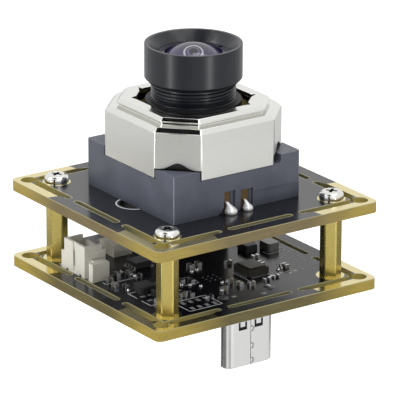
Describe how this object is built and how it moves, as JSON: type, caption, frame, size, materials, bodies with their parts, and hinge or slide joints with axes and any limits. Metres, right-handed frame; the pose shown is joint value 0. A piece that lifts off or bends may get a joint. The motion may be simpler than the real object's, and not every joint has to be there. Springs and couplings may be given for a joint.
{
  "type": "camera module",
  "caption": "Two stacked square circuit boards on hex standoffs with an autofocus lens in a metal cap above and a reversible data plug below.",
  "frame": {"origin": "middle of the main board's underside, on the lens axis and at the centre of its four corner holes", "axes": "+Z along the lens axis, out of the front glass; -Y is the edge that carries the plug; +X to the right seen from that edge"},
  "size_m": [0.038, 0.038, 0.0444],
  "materials": {
    "board": "glossy black solder mask over yellow laminate",
    "brass": "bright turned brass",
    "steel": "bright nickel plated steel",
    "holder_plastic": "satin slate grey moulding",
    "blue_glass": "pale coated filter glass",
    "ceramic_package": "dark ceramic package",
    "clear_glass": "clear glass",
    "nickel": "polished nickel plate",
    "magnet": "dull nickel plated magnet",
    "black_plastic": "black moulding",
    "copper": "enamelled copper wire",
    "spring_bronze": "etched bronze sheet",
    "terminal_bronze": "bronze strip",
    "solder": "bright solder",
    "lens_black": "black anodised, satin",
    "coated_glass": "violet coated glass",
    "matt_black": "matt black",
    "plug_steel": "satin nickel plated steel",
    "gold_contact": "gold plated",
    "tinned": "tin plated",
    "ivory_plastic": "satin ivory moulding",
    "chip_black": "dark epoxy",
    "ferrite": "dark grey ferrite",
    "capacitor_body": "tan ceramic"
  },
  "bodies": {
    "housing": {"bottom_screws": "steel", "capacitors": "capacitor_body", "chip_end_caps": "tinned", "coil_terminals": "terminal_bronze", "crystal_can": "nickel", "image_sensor": "ceramic_package", "ir_filter": "blue_glass", "lens_holder": "holder_plastic", "low_header": "ivory_plastic", "low_header_pins": "tinned", "lower_spring": "spring_bronze", "magnets": "magnet", "main_board": "board", "main_processor": "chip_black", "memory_chip": "chip_black", "memory_leads": "tinned", "plug_contacts": "gold_contact", "plug_core": "black_plastic", "plug_shell": "plug_steel", "plug_solder": "solder", "power_chips": "chip_black", "power_inductors": "ferrite", "processor_leads": "tinned", "resistors": "chip_black", "sensor_board": "board", "sensor_glass": "clear_glass", "spring_clamp": "black_plastic", "stack_pins": "gold_contact", "stack_plug": "black_plastic", "stack_socket": "black_plastic", "standoffs": "brass", "terminal_solder": "solder", "top_screws": "steel", "under_capacitors": "capacitor_body", "under_end_caps": "tinned", "upper_spring": "spring_bronze", "wire_header": "ivory_plastic", "wire_header_pins": "tinned", "wire_header_tabs": "tinned", "yoke_cap": "nickel"},
    "lens": {"lens_carrier": "black_plastic", "focus_coil": "copper", "lens_barrel": "lens_black", "front_element": "coated_glass", "middle_element": "clear_glass", "rear_element": "clear_glass", "lens_spacers": "black_plastic", "retaining_ring": "matt_black"}
  },
  "joints": [
    {"name": "focus_slide", "type": "slide", "parent": "housing", "child": "lens", "axis": [0, 0, 1], "range_m": [0, 0.0004], "stiffness_N_per_m": 150, "springref_m": -0.0002, "deforming": ["lower_spring", "upper_spring"]}
  ]
}
